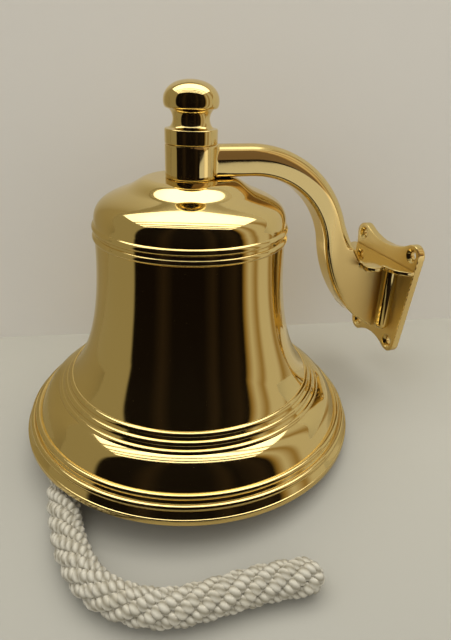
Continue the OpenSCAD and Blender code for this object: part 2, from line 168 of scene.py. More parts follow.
rope_step = 0.0012
rope_way = smooth_way(on_table(rope_route, rope_d / 2), rope_step)
rope_long = rope_step * (len(rope_way) - 1)
strands = 7
strand_r = 0.00208
strand_swell = 0.00038
turn_long = 0.0300
tuck_long = 0.0038
tuck_deep = 0.00072
start_long = 0.012
crown_long = 0.0075
core_r = 0.0060
core_end_r = 0.0035
core_short = 0.010


def plait_strands(way, long):
    """Fat strands wound side by side. Each rises and tucks under again, a little after its neighbour."""
    frames = frames_along(way)
    middle_r = rope_d / 2 - strand_r - strand_swell - tuck_deep
    yarns = []
    for i in range(strands):
        yarn = []
        for k, (spot, side, up) in enumerate(frames):
            s = long * k / (len(frames) - 1)
            a = 2 * math.pi * (i / strands + s / turn_long)
            rise = math.cos(2 * math.pi * (s / tuck_long - 2 * i / strands))
            from_end = min(1.0, (long - s) / crown_long)
            crown = math.sqrt(max(0.0, 1 - (1 - from_end) ** 2))
            from_start = min(1.0, s / start_long)
            r = (middle_r + tuck_deep * rise) * max(crown, 0.12)
            r *= 0.72 + 0.28 * from_start * (2 - from_start)
            yarn.append((spot + r * turned(side, up, a), strand_r + strand_swell * rise))
        yarns.append(yarn)
    core = []
    for k, (spot, _, _) in enumerate(frames[:-14]):
        is_full = start_long < long * k / len(frames) < long - core_short
        core.append((spot, core_r if is_full else core_end_r))
    return yarns + [core]


plait_step = 0.00029
plait_way = smooth_way(on_table(rope_route, rope_d / 2), plait_step)
rope = yarn_mesh("plaited_rope", plait_strands(plait_way, rope_long), 10)


def new_material(name):
    material = bpy.data.materials.new(name)
    material.use_nodes = True
    nodes = material.node_tree.nodes
    nodes.clear()
    shader = nodes.new("ShaderNodeBsdfPrincipled")
    output = nodes.new("ShaderNodeOutputMaterial")
    material.node_tree.links.new(shader.outputs["BSDF"], output.inputs["Surface"])
    return material, nodes, material.node_tree.links, shader


def dress(piece, material):
    piece.data.materials.clear()
    piece.data.materials.append(material)


def new_group(name, entries, results):
    """An empty node group. Entries and results are pairs of a label and a kind of value."""
    group = bpy.data.node_groups.new(name, "ShaderNodeTree")
    for label, kind in entries:
        group.interface.new_socket(label, in_out="INPUT", socket_type="NodeSocket" + kind)
    for label, kind in results:
        group.interface.new_socket(label, in_out="OUTPUT", socket_type="NodeSocket" + kind)
    return group


def group_node(nodes, group, **values):
    node = nodes.new("ShaderNodeGroup")
    node.node_tree = group
    for label, value in values.items():
        node.inputs[label].default_value = value
    return node


def math_node(nodes, links, kind, a, b=None, c=None):
    node = nodes.new("ShaderNodeMath")
    node.operation = kind
    for socket, value in zip(node.inputs, (a, b, c)):
        if value is None:
            continue
        if isinstance(value, (int, float)):
            socket.default_value = value
        else:
            links.new(value, socket)
    return node.outputs[0]


def mix_node(nodes, links, fac, a, b, blend="MIX"):
    node = nodes.new("ShaderNodeMix")
    node.data_type = "RGBA"
    node.blend_type = blend
    for name, value in (("Factor", fac), ("A", a), ("B", b)):
        socket = node.inputs[name]
        if isinstance(value, tuple):
            socket.default_value = (*value, 1)
        else:
            links.new(value, socket)
    return node.outputs["Result"]


def noise_node(nodes, links, place, scale, detail, stretch=None):
    if stretch is not None:
        mapping = nodes.new("ShaderNodeMapping")
        mapping.inputs["Scale"].default_value = stretch
        links.new(place, mapping.inputs["Vector"])
        place = mapping.outputs["Vector"]
    noise = nodes.new("ShaderNodeTexNoise")
    noise.inputs["Scale"].default_value = scale
    noise.inputs["Detail"].default_value = detail
    links.new(place, noise.inputs["Vector"])
    return noise.outputs["Fac"]


def give_relief(nodes, links, shader, height, strength, depth):
    bump = nodes.new("ShaderNodeBump")
    bump.inputs["Strength"].default_value = strength
    bump.inputs["Distance"].default_value = depth
    links.new(height, bump.inputs["Height"])
    links.new(bump.outputs["Normal"], shader.inputs["Normal"])


# Twisted yarn: plies run slantwise round each yarn, with fine fibres on them. The furrow value is the plies'
# height, which the cords also use for painted shade in the grooves.
yarn_group = new_group("yarn_twist", (("Lay", "Float"), ("Plies", "Float")),
                       (("Furrow", "Float"), ("Height", "Float"), ("Soil", "Float")))


def fill_yarn_group():
    nodes, links = yarn_group.nodes, yarn_group.links
    entry = nodes.new("NodeGroupInput")
    result = nodes.new("NodeGroupOutput")
    uv = nodes.new("ShaderNodeUVMap")
    uv.uv_map = "yarn"
    split = nodes.new("ShaderNodeSeparateXYZ")
    links.new(uv.outputs["UV"], split.inputs[0])
    round_it = math_node(nodes, links, "MULTIPLY", split.outputs["X"], entry.outputs["Plies"])
    along = math_node(nodes, links, "MULTIPLY", split.outputs["Y"], entry.outputs["Lay"])
    slant = math_node(nodes, links, "ADD", round_it, along)
    wave = math_node(nodes, links, "SINE", math_node(nodes, links, "MULTIPLY", slant, 2 * math.pi))
    half_wave = math_node(nodes, links, "MULTIPLY_ADD", wave, 0.5, 0.5)
    furrow = math_node(nodes, links, "POWER", half_wave, 1.4)
    links.new(furrow, result.inputs["Furrow"])
    place = nodes.new("ShaderNodeTexCoord").outputs["Object"]
    fibre = noise_node(nodes, links, place, 2600, 3)
    links.new(math_node(nodes, links, "MULTIPLY_ADD", fibre, 0.35, furrow), result.inputs["Height"])
    links.new(noise_node(nodes, links, place, 55, 5), result.inputs["Soil"])


fill_yarn_group()


def cord_material(name, pale, dark, lay, plies, depth):
    material, nodes, links, shader = new_material(name)
    twist = group_node(nodes, yarn_group, Lay=lay, Plies=plies)
    # Painted shade: the yarn goes from the pale colour on the ridges of the plies to the dark one down in
    # their grooves.
    out_of_painted_shade = math_node(nodes, links, "POWER", twist.outputs["Furrow"], 0.5)
    tone = mix_node(nodes, links, out_of_painted_shade, dark, pale)
    soiled = math_node(nodes, links, "MULTIPLY", twist.outputs["Soil"], 0.8)
    aged = mix_node(nodes, links, soiled, tone, (0.90, 0.86, 0.76), "MULTIPLY")
    links.new(aged, shader.inputs["Base Color"])
    give_relief(nodes, links, shader, twist.outputs["Height"], 0.8, depth)
    shader.inputs["Roughness"].default_value = 0.62
    shader.inputs["Sheen Weight"].default_value = 0.25
    shader.inputs["Sheen Roughness"].default_value = 0.4
    return material


rope_cotton = cord_material("rope_cotton_plait", (0.62, 0.595, 0.515), (0.30, 0.275, 0.21), 260, 3, 0.00030)
dress(rope, rope_cotton)
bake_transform(rope)
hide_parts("rope")


# Becket and whipping: a loop of laid cord through the clapper's tail, and the
# turns of waxed twine that bind its two ends to the start of the rope.
whip_pitch = 0.00105
whip_r = 0.0052
twine_r = 0.00055
whip_ends = on_table([(3.5, -160), (4.95, -171.6)], rope_d / 2)
loop_low = whip_ends[0]
loop_eye_z = -0.0633


def from_loop(x, y, z):
    return loop_low + Vector((x, y, z)) / 1000


becket_way = smooth_way([
    from_loop(-2.7, 0.4, 0), from_loop(-6, 6.5, 2.6),
    Vector((-0.009, -0.1465, loop_eye_z - 0.0034)), Vector((-0.008, -0.141, loop_eye_z - 0.0008)),
    Vector((-0.0034, -0.1398, loop_eye_z)), Vector((0.0034, -0.1398, loop_eye_z)),
    Vector((0.0086, -0.141, loop_eye_z - 0.0008)), Vector((0.011, -0.1465, loop_eye_z - 0.0034)),
    from_loop(6.4, 6.1, 2.6), from_loop(2.7, -0.3, 0)], 0.0005)


def laid_yarns(way, lay, at_r, yarn_r):
    """Three yarns laid round the way, one turn in each length of lay."""
    frames = frames_along(way)
    yarns = []
    for i in range(3):
        run = []
        length = 0.0
        for k, (spot, side, up) in enumerate(frames):
            if k:
                length += (spot - frames[k - 1][0]).length
            a = 2 * math.pi * (length / lay + i / 3)
            run.append((spot + at_r * turned(side, up, a), yarn_r))
        yarns.append(run)
    return yarns


becket = yarn_mesh("becket_loop", laid_yarns(becket_way, 0.011, 0.00105, 0.00098), 8)
dress(becket, cord_material("becket_cord_laid", (0.70, 0.67, 0.58), (0.42, 0.38, 0.30), 500, 3, 0.0002))


def whipping_yarns():
    """One twine wound close from end to end, and the core that it is wound on."""
    start, end = whip_ends
    way = [start.lerp(end, k / 20) for k in range(21)]
    _, side, up = frames_along(way)[0]
    steps = 24 * int((end - start).length / whip_pitch)
    run = []
    for k in range(steps + 1):
        spot = start.lerp(end, 0.035 + 0.93 * k / steps)
        run.append((spot + whip_r * turned(side, up, 2 * math.pi * k / 24), twine_r))
    core = [(spot, 0.0050) for spot in way]
    return [run, core]


whipping = yarn_mesh("twine_whipping", whipping_yarns(), 8)
dress(whipping, cord_material("whipping_twine_waxed", (0.62, 0.56, 0.42), (0.35, 0.30, 0.20), 900, 2, 0.0001))
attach(whipping, "bell")
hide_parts("rope_whipping")
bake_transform(becket)
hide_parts("rope_becket")


# Table, backdrop and light: a pale sheet on the table that rises behind the bell, four soft strips overhead,
# and a dim room on the camera's side. The room is only a painted reflection: glossy rays see it in the world
# and, past the bell, as a glow on the table.
def stage_sheet(name, corners):
    bpy.ops.object.select_all(action="DESELECT")
    bpy.ops.mesh.primitive_plane_add(size=2)
    sheet = bpy.context.object
    sheet.name = name
    for vertex, spot in zip(sheet.data.vertices, corners):
        vertex.co = spot
    return sheet


def table_spot(x, y):
    return (x, y, table_height(x, y) - 0.0001)


table = stage_sheet("table_sheet", [table_spot(-3, -3), table_spot(3, -3),
                                    table_spot(-3, 3), table_spot(3, 3)])
fold_from = Vector((-0.1530, -0.2386))
fold_way = (Vector((-0.0418, 0.1098)) - fold_from).normalized()
fold_a = fold_from - 2.2 * fold_way
fold_b = fold_from + 2.2 * fold_way
backdrop = stage_sheet("backdrop_sheet", [
    table_spot(*fold_a), table_spot(*fold_b),
    (fold_a.x, fold_a.y, 0.26), (fold_b.x, fold_b.y, 0.26)])

room_turn = math.radians(20.87)
room = new_group("room_around", (("Way", "Vector"),), (("Colour", "Color"),))


def ramp_node(nodes, links, fac, stops):
    """Colours along a straight ramp, each given with its place on it."""
    ramp = nodes.new("ShaderNodeValToRGB")
    ramp.color_ramp.interpolation = "LINEAR"
    elements = ramp.color_ramp.elements
    while len(elements) > 1:
        elements.remove(elements[-1])
    elements[0].position = stops[0][0]
    elements[0].color = (*stops[0][1], 1)
    for at, colour in stops[1:]:
        elements.new(at).color = (*colour, 1)
    links.new(fac, ramp.inputs["Fac"])
    return ramp.outputs["Color"]


def fill_room():
    nodes, links = room.nodes, room.links
    entry = nodes.new("NodeGroupInput")
    result = nodes.new("NodeGroupOutput")
    turn = nodes.new("ShaderNodeVectorRotate")
    turn.rotation_type = "Z_AXIS"
    turn.inputs["Angle"].default_value = room_turn
    links.new(entry.outputs["Way"], turn.inputs["Vector"])
    split = nodes.new("ShaderNodeSeparateXYZ")
    links.new(turn.outputs["Vector"], split.inputs[0])
    round_room = math_node(nodes, links, "ARCTAN2", split.outputs["Y"], split.outputs["X"])
    share = math_node(nodes, links, "MULTIPLY_ADD", round_room, 0.5 / math.pi, 0.5)
    dark = (0.006, 0.004, 0.003)
    dim = (0.020, 0.013, 0.008)
    left = (0.300, 0.260, 0.160)
    pale = (0.520, 0.470, 0.360)
    amber = (0.270, 0.170, 0.045)
    links.new(ramp_node(nodes, links, share, [
        (0.00, left), (0.24, left), (0.328, left), (0.335, dark), (0.40, dark), (0.43, dim),
        (0.46, dark), (0.55, dark), (0.58, dim), (0.60, dark), (0.65, dim), (0.672, dark),
        (0.682, amber), (0.700, pale), (0.725, amber), (0.74, pale), (0.775, pale), (0.79, amber),
        (0.82, pale), (0.90, pale), (1.0, left)]), result.inputs["Colour"])


fill_room()


def map_node(nodes, links, value, low, high, to_low=0.0, to_high=1.0):
    node = nodes.new("ShaderNodeMapRange")
    for socket, number in zip(list(node.inputs)[1:5], (low, high, to_low, to_high)):
        socket.default_value = number
    links.new(value, node.inputs["Value"])
    return node.outputs["Result"]


def vector_node(nodes, links, kind, a, b=None):
    node = nodes.new("ShaderNodeVectorMath")
    node.operation = kind
    links.new(a, node.inputs[0])
    if b is not None:
        node.inputs[1].default_value = b
    return node.outputs["Value"] if kind in ("DOT_PRODUCT", "LENGTH") else node.outputs["Vector"]


def shader_mix(nodes, links, fac, a, b):
    node = nodes.new("ShaderNodeMixShader")
    links.new(fac, node.inputs["Fac"])
    links.new(a, node.inputs[1])
    links.new(b, node.inputs[2])
    return node.outputs[0]


to_camera = (math.cos(room_turn), -math.sin(room_turn), 0)
to_right = (math.sin(room_turn), math.cos(room_turn), 0)


def room_on_table(nodes, links, place):
    """A painted reflection for polished brass low down: paper near the bell, and past it a glow in the dim
    room's colours that only glossy rays meet.
    """
    from_bell = vector_node(nodes, links, "SUBTRACT", place, tuple(bell_axis))
    flat = vector_node(nodes, links, "MULTIPLY", from_bell, (1, 1, 0))
    far = vector_node(nodes, links, "LENGTH", flat)
    around = group_node(nodes, room)
    links.new(flat, around.inputs["Way"])
    glow = nodes.new("ShaderNodeEmission")
    links.new(around.outputs["Colour"], glow.inputs["Color"])
    return map_node(nodes, links, far, 0.150, 0.180), glow.outputs[0]


def sheet_material(name, pale, painted_reflection_left, painted_reflection_right, paints_room_reflection):
    """Paper, painted darker toward the camera as shade. Glossy rays see it in painted reflection colours of
    its own, one to the left and one to the right, and from behind it is out of the way.
    """
    material, nodes, links, shader = new_material(name)
    place = nodes.new("ShaderNodeTexCoord").outputs["Object"]
    grain = noise_node(nodes, links, place, 6, 4)
    tone = mix_node(nodes, links, grain, tuple(0.97 * c for c in pale), tuple(1.03 * c for c in pale))
    # Painted shade: the paper's colour gets up to about a quarter darker toward the camera, standing in for
    # light falling off there.
    painted_shade_nearer = map_node(nodes, links, vector_node(nodes, links, "DOT_PRODUCT", place, to_camera),
                      -0.10, 0.20, 0.0, 0.24)
    links.new(mix_node(nodes, links, painted_shade_nearer, tone, (0.0, 0.0, 0.0), "MULTIPLY"),
              shader.inputs["Base Color"])
    shader.inputs["Roughness"].default_value = 0.85
    shader.inputs["Specular IOR Level"].default_value = 0.2
    rays = nodes.new("ShaderNodeLightPath")
    seen = nodes.new("ShaderNodeBsdfDiffuse")
    # Painted reflection: glossy rays meet a diffuse paper in separate colours, going from the left one to the
    # right one.
    aside = vector_node(nodes, links, "DOT_PRODUCT", place, to_right)
    links.new(mix_node(nodes, links, map_node(nodes, links, aside, -0.30, -0.20),
                       painted_reflection_left, painted_reflection_right), seen.inputs["Color"])
    paper = shader_mix(nodes, links, rays.outputs["Is Glossy Ray"], shader.outputs["BSDF"],
                       seen.outputs["BSDF"])
    # Painted reflection: past the bell the table glows with the room's colours for glossy rays only.
    if paints_room_reflection:
        share, glow = room_on_table(nodes, links, place)
        share = math_node(nodes, links, "MULTIPLY", share, rays.outputs["Is Glossy Ray"])
        paper = shader_mix(nodes, links, share, paper, glow)
    back = nodes.new("ShaderNodeNewGeometry")
    clear = nodes.new("ShaderNodeBsdfTransparent")
    behind = math_node(nodes, links, "MULTIPLY", back.outputs["Backfacing"], rays.outputs["Is Camera Ray"])
    output = [node for node in nodes if node.type == "OUTPUT_MATERIAL"][0]
    links.new(shader_mix(nodes, links, behind, paper, clear.outputs[0]), output.inputs["Surface"])
    return material


# Painted reflection colours: the papers' tones as the brass sees them.
painted_table_reflection = (0.36, 0.32, 0.22)
dress(table, sheet_material("table_paper", (0.545, 0.53, 0.465), painted_table_reflection, painted_table_reflection, True))
dress(backdrop, sheet_material("backdrop_paper", (0.72, 0.69, 0.635), (0.41, 0.35, 0.215),
                               (0.70, 0.66, 0.56), False))

world = bpy.data.worlds.new("studio_room")
bpy.context.scene.world = world
world.use_nodes = True
w_nodes, w_links = world.node_tree.nodes, world.node_tree.links
w_nodes.clear()
w_out = w_nodes.new("ShaderNodeOutputWorld")
w_rays = w_nodes.new("ShaderNodeLightPath")
w_way = w_nodes.new("ShaderNodeTexCoord").outputs["Generated"]
w_room = group_node(w_nodes, room)
w_links.new(w_way, w_room.inputs["Way"])
w_split = w_nodes.new("ShaderNodeSeparateXYZ")
w_links.new(w_way, w_split.inputs[0])
w_high = map_node(w_nodes, w_links, w_split.outputs["Z"], 0.79, 0.90)
w_ahead = vector_node(w_nodes, w_links, "DOT_PRODUCT", w_way, to_camera)
w_behind = map_node(w_nodes, w_links, w_ahead, 0.20, 0.10)
w_ceiling = math_node(w_nodes, w_links, "MULTIPLY", w_high, w_behind)
w_tone = mix_node(w_nodes, w_links, w_ceiling, w_room.outputs["Colour"], (0.84, 0.80, 0.66))
w_soft = w_nodes.new("ShaderNodeBackground")
w_soft.inputs["Color"].default_value = (0.80, 0.79, 0.76, 1)
# Painted reflection: glossy rays see the room and a pale ceiling; every other ray sees an even pale world.
w_seen = w_nodes.new("ShaderNodeBackground")
w_links.new(w_tone, w_seen.inputs["Color"])
w_both = shader_mix(w_nodes, w_links, w_rays.outputs["Is Glossy Ray"], w_soft.outputs[0], w_seen.outputs[0])
w_links.new(w_both, w_out.inputs["Surface"])


def soft_light(name, place, aim, width, depth, glow, turn=0.0, tint=(1.0, 0.97, 0.90)):
    """A soft rectangular lamp at a place, aimed at a spot and turned round that line."""
    data = bpy.data.lights.new(name, "AREA")
    data.shape = "RECTANGLE"
    data.size = width
    data.size_y = depth
    data.energy = glow * math.pi * width * depth
    data.color = tint
    lamp = bpy.data.objects.new(name, data)
    bpy.context.scene.collection.objects.link(lamp)
    away = (Vector(place) - Vector(aim)).normalized()
    side = Vector((math.sin(turn), math.cos(turn), 0))
    side = (side - away * side.dot(away)).normalized()
    up = away.cross(side)
    lamp.matrix_world = Matrix(((side.x, up.x, away.x, place[0]), (side.y, up.y, away.y, place[1]),
                                (side.z, up.z, away.z, place[2]), (0, 0, 0, 1)))
    return lamp


overheads = []
overhead_z = 0.78
overhead_long = 1.40
for near, far in ((0.455, 0.400), (0.350, 0.280), (0.230, 0.145), (0.095, -0.310)):
    reach = (near + far) / 2
    x = -0.06 + reach * math.cos(room_turn)
    y = -0.12 - reach * math.sin(room_turn)
    overheads.append(soft_light("overhead_softbox", (x, y, overhead_z), (x, y, 0.0),
                                overhead_long, near - far, 2.1, room_turn))
bpy.context.scene.view_settings.view_transform = "Standard"


# Wall plate: a brass casting with four eared screw holes, countersunk, and two
# half-round ribs undercut inside, between which the bracket's tongue drops.
def pick(piece):
    bpy.ops.object.select_all(action="DESELECT")
    piece.select_set(True)
    bpy.context.view_layer.objects.active = piece


def settle(piece):
    pick(piece)
    bpy.ops.object.transform_apply(location=True, rotation=True, scale=True)


def in_edit(piece):
    pick(piece)
    bpy.ops.object.mode_set(mode="EDIT")
    bpy.ops.mesh.select_all(action="SELECT")


def out_of_edit():
    bpy.ops.object.mode_set(mode="OBJECT")


def face_outward():
    bpy.ops.mesh.select_all(action="SELECT")
    bpy.ops.mesh.normals_make_consistent(inside=False)
    out_of_edit()


def draw_line(name, points):
    """A drawn line: one corner of a small plane, extruded from point to point."""
    bpy.ops.object.select_all(action="DESELECT")
    bpy.ops.mesh.primitive_plane_add(size=0.001, location=points[0])
    piece = bpy.context.object
    piece.name = name
    in_edit(piece)
    bpy.ops.mesh.merge(type="CENTER")
    here = Vector(points[0])
    for spot in points[1:]:
        step = Vector(spot) - here
        bpy.ops.mesh.extrude_region_move(TRANSFORM_OT_translate={"value": step})
        here = Vector(spot)
    out_of_edit()
    settle(piece)
    return piece


def saw_out(name, outline, through):
    """A closed outline filled and extruded through the sheet's thickness."""
    piece = draw_line(name, outline)
    in_edit(piece)
    bpy.ops.mesh.edge_face_add()
    bpy.ops.mesh.extrude_region_move(TRANSFORM_OT_translate={"value": Vector(through)})
    bpy.ops.mesh.select_all(action="SELECT")
    bpy.ops.mesh.remove_doubles(threshold=1e-6)
    face_outward()
    return piece


def finish_with(piece, kind, **values):
    modifier = piece.modifiers.new(kind.lower(), kind)
    for key, value in values.items():
        setattr(modifier, key, value)
    pick(piece)
    bpy.ops.object.modifier_apply(modifier=modifier.name)


def upright_bar(name, r, length, middle, sides):
    bpy.ops.object.select_all(action="DESELECT")
    bpy.ops.mesh.primitive_cylinder_add(vertices=sides, radius=r, depth=length, location=middle)
    bar = bpy.context.object
    bar.name = name
    settle(bar)
    return bar


def block(name, low, high):
    bpy.ops.object.select_all(action="DESELECT")
    bpy.ops.mesh.primitive_cube_add(size=1)
    piece = bpy.context.object
    piece.name = name
    for vertex in piece.data.vertices:
        vertex.co = [high[i] if vertex.co[i] > 0 else low[i] for i in range(3)]
    return piece


def cut_away(piece, tool):
    finish_with(piece, "BOOLEAN", operation="DIFFERENCE", solver="EXACT", object=tool)
    bpy.data.objects.remove(tool)


def joined(name, pieces):
    """One object of several, under a name and with its place in its mesh."""
    bpy.ops.object.select_all(action="DESELECT")
    for piece in pieces:
        piece.select_set(True)
    bpy.context.view_layer.objects.active = pieces[0]
    bpy.ops.object.join()
    pieces[0].name = name
    settle(pieces[0])
    return pieces[0]


def cast_together(name, pieces, voxel, passes):
    """Melts overlapping pieces into one casting with soft edges and fillets."""
    casting = joined(name, pieces)
    finish_with(casting, "REMESH", mode="VOXEL", voxel_size=voxel, adaptivity=0.0,
                use_smooth_shade=True)
    finish_with(casting, "SMOOTH", factor=0.5, iterations=passes)
    casting.data.name = name
    return casting


def arc_points(x, y, r, from_a, to_a, n):
    """Points of an arc round x, y, from one angle in degrees to another."""
    turns = [math.radians(from_a + (to_a - from_a) * k / n) for k in range(n + 1)]
    return [(x + r * math.cos(a), y + r * math.sin(a)) for a in turns]


def way_angle(a, b):
    return math.degrees(math.atan2(b[1] - a[1], b[0] - a[0]))


plate_t = 5.0
ear_r = 7.0
upper_ear = (26.0, 32.0)
lower_ear = (18.0, -32.0)
seat_z = 21.0
rib_low = -24.0
rib_r = 5.0
rib_x = 13.4
rib_y = -0.008
rib_foot_z = (rib_low + rib_r) / 1000
inside_plate_y = -0.0035
slot_half = 0.0129
slot_back_y = -0.0050
slot_front_y = -0.0090
ears = [(side * x, z) for x, z in (upper_ear, lower_ear) for side in (1, -1)]
screw_r = 2.5
sink_r = 4.5
sink_low = 2.0
top_dip = 0.4
low_dip = 1.7


def half_outline():
    """The right half of the plate's outline: round ears, and hollow arcs between them."""
    top_r = (upper_ear[0] ** 2 + top_dip ** 2 - ear_r ** 2) / (2 * (ear_r - top_dip))
    low_r = (lower_ear[0] ** 2 + low_dip ** 2 - ear_r ** 2) / (2 * (ear_r - low_dip))
    top_c = (0, upper_ear[1] + top_dip + top_r)
    low_c = (0, lower_ear[1] - low_dip - low_r)
    to_top = way_angle(upper_ear, top_c)
    to_low = way_angle(lower_ear, low_c)
    side = way_angle(lower_ear, upper_ear) - 90
    points = arc_points(*top_c, top_r, -90, to_top - 180, 12)
    points += arc_points(*upper_ear, ear_r, to_top, side, 20)
    points += arc_points(*lower_ear, ear_r, side, to_low, 20)
    points += arc_points(*low_c, low_r, to_low + 180, 90, 10)
    return points


right_side = half_outline()
plate_line = right_side + [(-x, z) for x, z in reversed(right_side)][1:-1]
outline = draw_line("wall_plate_cast", [(x / 1000, 0, z / 1000) for x, z in plate_line + plate_line[:1]])
rings = []
for x, z in ears:
    bpy.ops.object.select_all(action="DESELECT")
    bpy.ops.mesh.primitive_circle_add(vertices=32, radius=screw_r / 1000,
                                      location=(x / 1000, 0, z / 1000), rotation=(math.pi / 2, 0, 0))
    rings.append(bpy.context.object)
wall_plate = joined("wall_plate_cast", [outline] + rings)
in_edit(wall_plate)
bpy.ops.mesh.remove_doubles(threshold=1e-6)
bpy.ops.mesh.fill()
bpy.ops.mesh.select_all(action="SELECT")
bpy.ops.mesh.extrude_region_move(TRANSFORM_OT_translate={"value": (0, -plate_t / 1000, 0)})
face_outward()
sink_deep = sink_r - sink_low
sink_y = -plate_t + sink_deep / 2 - 0.05
for x, z in ears:
    bpy.ops.object.select_all(action="DESELECT")
    bpy.ops.mesh.primitive_cone_add(vertices=32, radius1=sink_r / 1000, radius2=sink_low / 1000,
                                    depth=sink_deep / 1000, rotation=(-math.pi / 2, 0, 0),
                                    location=(x / 1000, sink_y / 1000, z / 1000))
    cone = bpy.context.object
    settle(cone)
    cut_away(wall_plate, cone)

finish_with(wall_plate, "REMESH", mode="VOXEL", voxel_size=0.00045, adaptivity=0.0)
finish_with(wall_plate, "SMOOTH", factor=0.5, iterations=5)

ribs = []
for x in (-rib_x, rib_x):
    bpy.ops.object.select_all(action="DESELECT")
    bpy.ops.mesh.primitive_uv_sphere_add(segments=64, ring_count=32, radius=rib_r / 1000,
                                         location=(x / 1000, rib_y, rib_foot_z))
    rib = bpy.context.object
    settle(rib)
    in_edit(rib)
    bpy.ops.mesh.bisect(plane_co=(0, 0, rib_foot_z), plane_no=(0, 0, 1), clear_outer=True, use_fill=True)
    bpy.ops.mesh.select_all(action="DESELECT")
    out_of_edit()
    for face in rib.data.polygons:
        face.select = face.normal.z > 0.99
    bpy.ops.object.mode_set(mode="EDIT")
    bpy.ops.mesh.extrude_region_move(
        TRANSFORM_OT_translate={"value": (0, 0, seat_z / 1000 - rib_foot_z)})
    bpy.ops.mesh.select_all(action="SELECT")
    bpy.ops.mesh.bisect(plane_co=(0, inside_plate_y, 0), plane_no=(0, 1, 0), clear_outer=True, use_fill=True)
    face_outward()
    cut_away(rib, block("slot_cut", (-slot_half, slot_front_y, -0.0209), (slot_half, slot_back_y, 0.040)))
    ribs.append(rib)
for rib in ribs:
    finish_with(wall_plate, "BOOLEAN", operation="UNION", solver="EXACT", object=rib)
    bpy.data.objects.remove(rib)
settle(wall_plate)
bpy.ops.object.shade_smooth_by_angle(angle=math.radians(28))


# Brass as it comes from the buff: slight changes of tone, faint waves left by
# hand polishing, very fine scratches and a few specks.
brass_group = new_group("buffed_brass", (("Wave", "Float"), ("Tone", "Float"), ("Specks", "Float")),
                        (("Colour", "Color"), ("Roughness", "Float"), ("Height", "Float")))


def fill_brass():
    nodes, links = brass_group.nodes, brass_group.links
    entry = nodes.new("NodeGroupInput")
    result = nodes.new("NodeGroupOutput")
    place = nodes.new("ShaderNodeTexCoord").outputs["Object"]
    broad = noise_node(nodes, links, place, 14, 3)
    fine = noise_node(nodes, links, place, 420, 4)
    scratch = noise_node(nodes, links, place, 60, 3, (1, 1, 55))
    browner = math_node(nodes, links, "MULTIPLY", broad, entry.outputs["Tone"])
    tone = mix_node(nodes, links, browner, (0.86, 0.69, 0.320), (0.80, 0.61, 0.255))
    specks = nodes.new("ShaderNodeTexVoronoi")
    specks.inputs["Scale"].default_value = 260
    links.new(place, specks.inputs["Vector"])
    on_speck = map_node(nodes, links, specks.outputs["Distance"], 0.045, 0.020)
    dots = math_node(nodes, links, "MULTIPLY", on_speck, entry.outputs["Specks"])
    links.new(mix_node(nodes, links, dots, tone, (0.20, 0.12, 0.05)), result.inputs["Colour"])
    buffed = math_node(nodes, links, "MULTIPLY_ADD", fine, 0.035, 0.035)
    scratched = math_node(nodes, links, "MULTIPLY_ADD", scratch, 0.03, buffed)
    links.new(math_node(nodes, links, "MULTIPLY_ADD", dots, 0.4, scratched), result.inputs["Roughness"])
    wave = noise_node(nodes, links, place, 75, 1)
    high = math_node(nodes, links, "MULTIPLY", wave, entry.outputs["Wave"])
    links.new(math_node(nodes, links, "MULTIPLY_ADD", fine, 0.010, high), result.inputs["Height"])


fill_brass()


def belt_dullness(nodes, links, from_y, full_y):
    """The flat faces past from_y are rubbed on a belt, which leaves them a little duller."""
    place = nodes.new("ShaderNodeTexCoord")
    facing = nodes.new("ShaderNodeSeparateXYZ")
    links.new(place.outputs["Normal"], facing.inputs[0])
    where = nodes.new("ShaderNodeSeparateXYZ")
    links.new(place.outputs["Object"], where.inputs[0])
    flat = math_node(nodes, links, "MAXIMUM", math_node(nodes, links, "ABSOLUTE", facing.outputs["X"]),
                    math_node(nodes, links, "ABSOLUTE", facing.outputs["Y"]))
    return math_node(nodes, links, "MULTIPLY", map_node(nodes, links, flat, 0.965, 0.995),
                    map_node(nodes, links, where.outputs["Y"], from_y, full_y, 0.0, 0.34))


def brass_material(name, wave, tone, specks, satin=0.0, belt=None):
    """Buffed brass, evenly duller by satin, or only on its flat faces where belt is given."""
    material, nodes, links, shader = new_material(name)
    skin = group_node(nodes, brass_group, Wave=wave, Tone=tone, Specks=specks)
    links.new(skin.outputs["Colour"], shader.inputs["Base Color"])
    dull = belt_dullness(nodes, links, *belt) if belt else satin
    links.new(math_node(nodes, links, "ADD", skin.outputs["Roughness"], dull), shader.inputs["Roughness"])
    give_relief(nodes, links, shader, skin.outputs["Height"], 0.5, 0.00012)
    shader.inputs["Metallic"].default_value = 1.0
    return material


dress(wall_plate, brass_material("wall_plate_brass", 0.6, 0.9, 0.5, belt=(-0.0063, -0.0057)))
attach(wall_plate, "wall_plate")
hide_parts("wall_plate")


# Bracket arm: one brass casting. A collar goes under the finial, the round-edged
# arm bends down into a flat web, and a shelf and a tongue sit on the wall plate.
def bezier(a, b, c, d, n, first=0):
    """Points of a curve from a to d, bent toward b and c; first=1 leaves its start out."""
    points = []
    for k in range(first, n + 1):
        t = k / n
        u = 1 - t
        points.append(tuple(u ** 3 * a[i] + 3 * u * u * t * b[i] + 3 * u * t * t * c[i] + t ** 3 * d[i]
                            for i in (0, 1)))
    return points


def arm_side(points):
    return [(-0.008, (x - 140) / 1000, z / 1000) for x, z in points]


